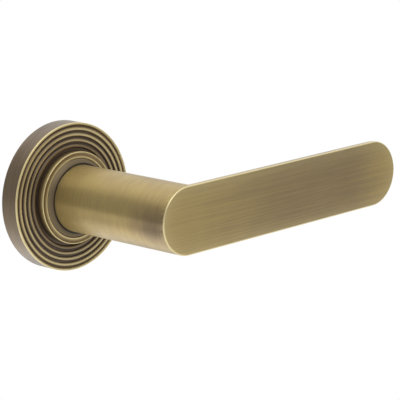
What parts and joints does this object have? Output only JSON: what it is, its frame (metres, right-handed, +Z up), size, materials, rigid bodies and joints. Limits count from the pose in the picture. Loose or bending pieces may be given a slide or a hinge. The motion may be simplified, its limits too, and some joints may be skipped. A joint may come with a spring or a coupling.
{
  "type": "door lever handle",
  "caption": "Sprung door lever on a round reeded rose: round neck, flat-fronted half-round grip with a ball end, square spindle and bolt-through posts.",
  "frame": {"origin": "where the lever's turning axis meets the door's face, at the centre of the backplate's back", "axes": "+Y into the door along the spindle, so the lever stands out along -Y; +X along the grip towards its tip; +Z up"},
  "size_m": [0.1312, 0.0834, 0.052],
  "materials": {
    "lever_brass": "aged brass, brushed around the neck and along the grip",
    "rose_brass": "aged brass, dark in the grooves and rubbed bright on the reeds",
    "dark_brass": "dark aged brass, satin",
    "turned_steel": "turned, bright zinc plated",
    "zinc_plate": "pressed sheet, zinc plated",
    "black_steel": "black oxide",
    "spring_steel": "oil-tempered",
    "cast_zinc": "die cast, plain",
    "black_nylon": "moulded, matt",
    "white_nylon": "moulded, matt"
  },
  "bodies": {
    "rose": {"rose_cover": "rose_brass", "neck_ring": "dark_brass", "neck_bush": "black_nylon", "backplate": "zinc_plate", "grip_ring": "white_nylon", "tail_bush": "white_nylon", "carrier_washer": "white_nylon", "spring_housing": "zinc_plate", "housing_screws": "turned_steel", "return_spring": "spring_steel", "stop_pins": "turned_steel", "fixing_posts": "turned_steel"},
    "handle": {"lever": "lever_brass", "spindle_sleeve": "turned_steel", "grub_screw": "black_steel", "spindle": "turned_steel", "spring_carrier": "cast_zinc", "disc_spring": "spring_steel", "thrust_washer": "turned_steel", "retaining_ring": "black_steel"}
  },
  "joints": [
    {"name": "lever_turn", "type": "hinge", "parent": "rose", "child": "handle", "pos_m": [0, 0, 0], "axis": [0, 1, 0], "range_deg": [0, 45], "stiffness_Nm_per_rad": 0.3, "springref_deg": -34.38, "deforming": ["return_spring"]}
  ]
}
